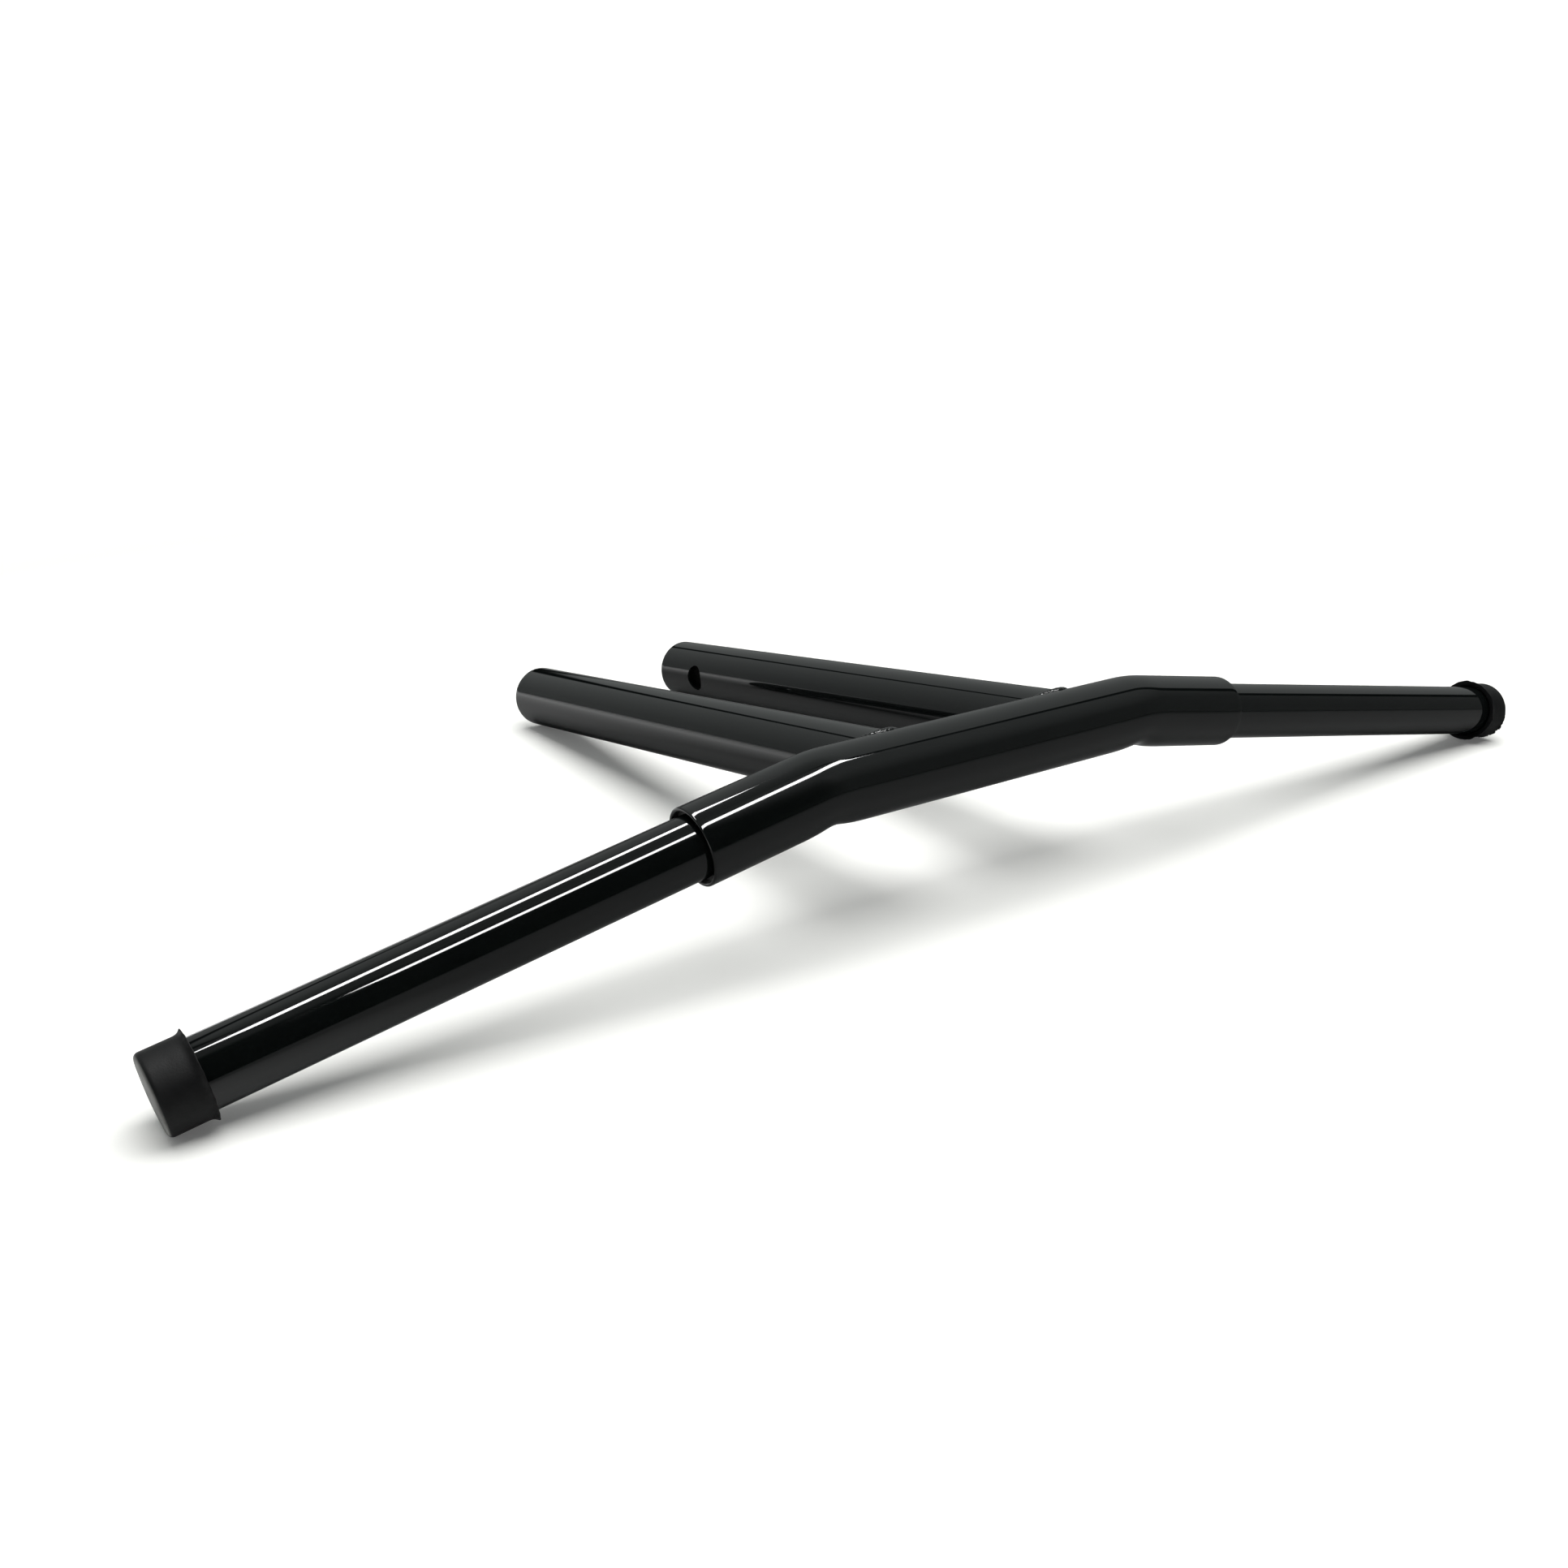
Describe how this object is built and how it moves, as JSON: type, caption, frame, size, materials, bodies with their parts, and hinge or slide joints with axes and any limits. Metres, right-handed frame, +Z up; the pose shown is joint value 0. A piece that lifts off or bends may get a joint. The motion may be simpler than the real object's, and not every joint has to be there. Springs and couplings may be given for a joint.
{
  "type": "tubular stand foot",
  "caption": "Arched tubular foot with telescoping rubber-capped legs and a pair of parallel socket tubes that take the uprights of a stand.",
  "frame": {"origin": "on the floor, under the middle of the bounding box", "axes": "+X along the arch, from the left leg to the right leg; +Y towards the open ends of the socket tubes; +Z up from the floor that the caps and a socket end rest on"},
  "size_m": [0.7098, 0.3356, 0.0815],
  "materials": {
    "black_powder_coat": "gloss",
    "black_nylon": "satin",
    "black_rubber": "matte"
  },
  "bodies": {
    "frame": {"arch_tube": "black_powder_coat", "left_socket_tube": "black_powder_coat", "right_socket_tube": "black_powder_coat", "left_weld_bead": "black_powder_coat", "right_weld_bead": "black_powder_coat", "left_mouth_bush": "black_nylon", "right_mouth_bush": "black_nylon"},
    "left_leg": {"left_leg_tube": "black_powder_coat", "left_tail_bush": "black_nylon", "left_end_cap": "black_rubber"},
    "right_leg": {"right_leg_tube": "black_powder_coat", "right_tail_bush": "black_nylon", "right_end_cap": "black_rubber"}
  },
  "joints": [
    {"name": "left_leg_slide", "type": "slide", "parent": "frame", "child": "left_leg", "axis": [-0.9811, 0.0143, -0.1929], "range_m": [-0.0015, 0.03]},
    {"name": "right_leg_slide", "type": "slide", "parent": "frame", "child": "right_leg", "axis": [0.9837, 0.0143, -0.179], "range_m": [-0.028, 0.0035]}
  ]
}
